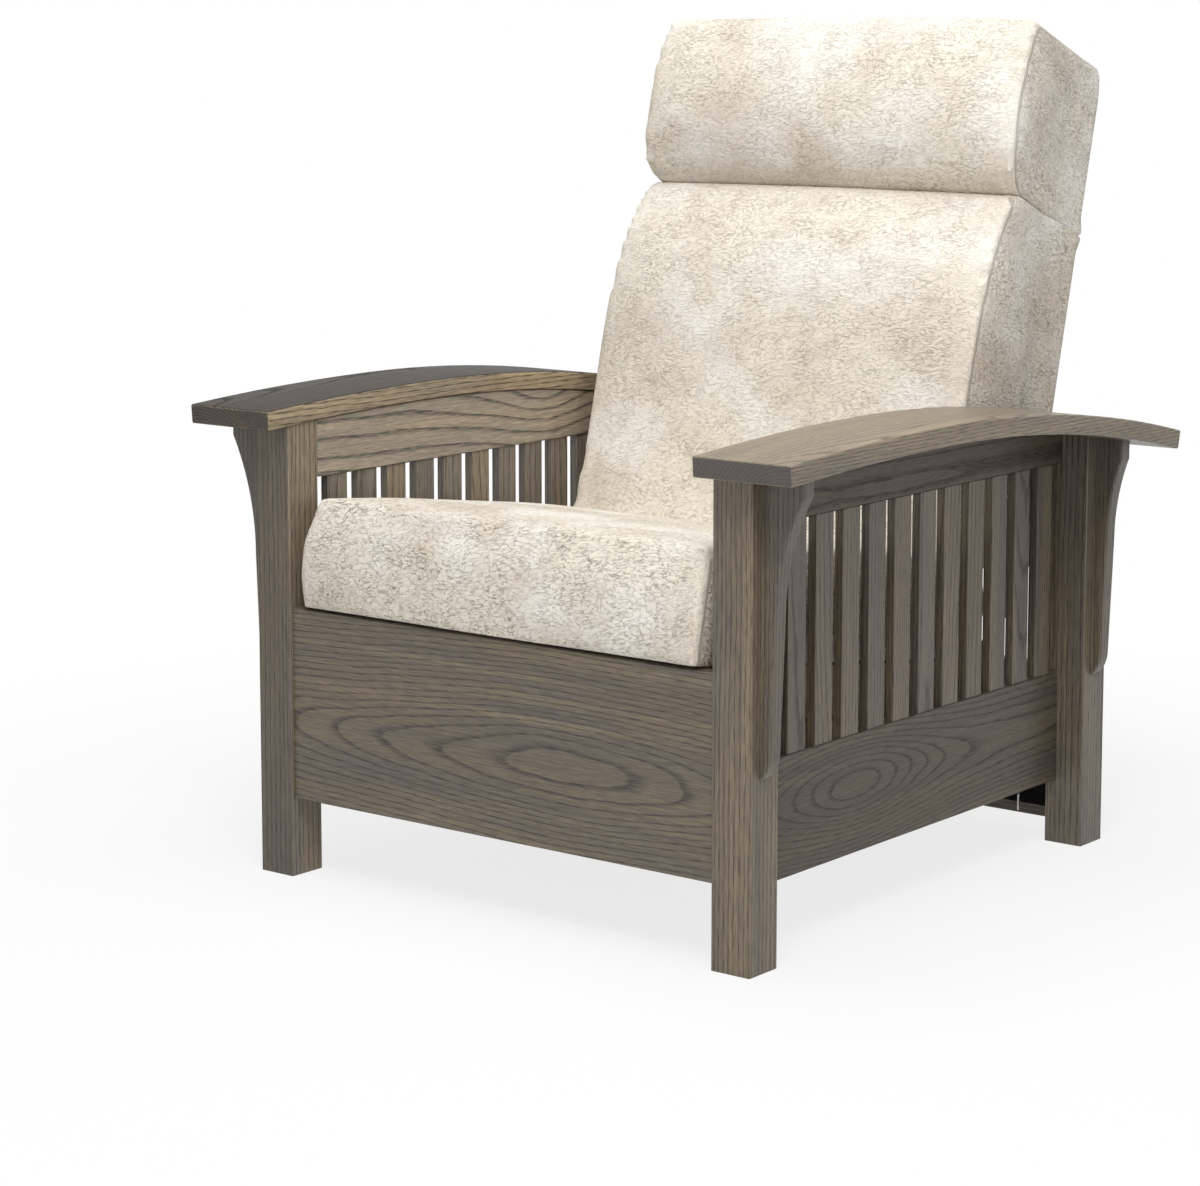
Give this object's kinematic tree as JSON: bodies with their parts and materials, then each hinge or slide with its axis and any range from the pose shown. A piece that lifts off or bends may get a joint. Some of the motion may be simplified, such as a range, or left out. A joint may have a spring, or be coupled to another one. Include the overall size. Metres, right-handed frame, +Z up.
{
  "type": "mission armchair with reclining back",
  "caption": "Mission armchair with bowed slatted sides and padded leather cushions; pushing the back reclines it and carries the seat forward",
  "frame": {"origin": "On the floor, in the middle of the chair's whole width and of its whole depth", "axes": "+X runs across the chair, to the right when it is seen from the front; +Y points to the rear; +Z is up"},
  "size_m": [0.86, 0.8898, 1.0084],
  "materials": {
    "stained_oak": "grey-brown stained oak, satin lacquer",
    "upholstery": "cream leather, crackled, with darker mottling",
    "inner_wood": "bare sawn hardwood",
    "gear_steel": "black paint",
    "fastener_steel": "zinc plated",
    "bush": "plain nylon",
    "dust_cloth": "black non-woven cloth",
    "webbing": "woven elastic webbing"
  },
  "bodies": {
    "frame": {"apron_hooks": "fastener_steel", "arm_left": "stained_oak", "arm_right": "stained_oak", "dust_cover": "dust_cloth", "front_corbel_left": "stained_oak", "front_corbel_right": "stained_oak", "front_leg_left": "stained_oak", "front_leg_right": "stained_oak", "front_panel": "stained_oak", "lower_side_rail_left": "stained_oak", "lower_side_rail_right": "stained_oak", "pivot_bushes": "bush", "pivot_pins": "fastener_steel", "pivot_plate_screws": "fastener_steel", "pivot_plates": "gear_steel", "rear_apron": "stained_oak", "rear_corbel_left": "stained_oak", "rear_corbel_right": "stained_oak", "rear_leg_left": "stained_oak", "rear_leg_right": "stained_oak", "seat_runners": "inner_wood", "side_slat_left_01": "stained_oak", "side_slat_left_02": "stained_oak", "side_slat_left_03": "stained_oak", "side_slat_left_04": "stained_oak", "side_slat_left_05": "stained_oak", "side_slat_left_06": "stained_oak", "side_slat_left_07": "stained_oak", "side_slat_left_08": "stained_oak", "side_slat_left_09": "stained_oak", "side_slat_left_10": "stained_oak", "side_slat_left_11": "stained_oak", "side_slat_left_12": "stained_oak", "side_slat_right_01": "stained_oak", "side_slat_right_02": "stained_oak", "side_slat_right_03": "stained_oak", "side_slat_right_04": "stained_oak", "side_slat_right_05": "stained_oak", "side_slat_right_06": "stained_oak", "side_slat_right_07": "stained_oak", "side_slat_right_08": "stained_oak", "side_slat_right_09": "stained_oak", "side_slat_right_10": "stained_oak", "side_slat_right_11": "stained_oak", "side_slat_right_12": "stained_oak", "upper_side_rail_left": "stained_oak", "upper_side_rail_right": "stained_oak"},
    "back": {"back_cushion": "upholstery", "headrest": "upholstery", "back_stiles": "inner_wood", "back_rails": "inner_wood", "outside_back": "upholstery", "hinge_arms": "gear_steel", "hinge_arm_screws": "fastener_steel"},
    "seat": {"seat_cushion": "upholstery", "seat_side_rails": "inner_wood", "seat_cross_rails": "inner_wood", "seat_webbing": "webbing", "link_brackets": "gear_steel", "link_bracket_screws": "fastener_steel"}
  },
  "joints": [
    {"name": "back_recline", "type": "hinge", "parent": "frame", "child": "back", "pos_m": [0, 0.2095, 0.43], "axis": [-1, 0, 0], "range_deg": [0, 22]},
    {"name": "seat_slide", "type": "slide", "parent": "frame", "child": "seat", "axis": [0, -0.9903, 0.1392], "range_m": [0, 0.0505]}
  ],
  "couplings": [
    {"joint": "seat_slide", "follows": "back_recline", "m_per_rad": 0.12929}
  ]
}
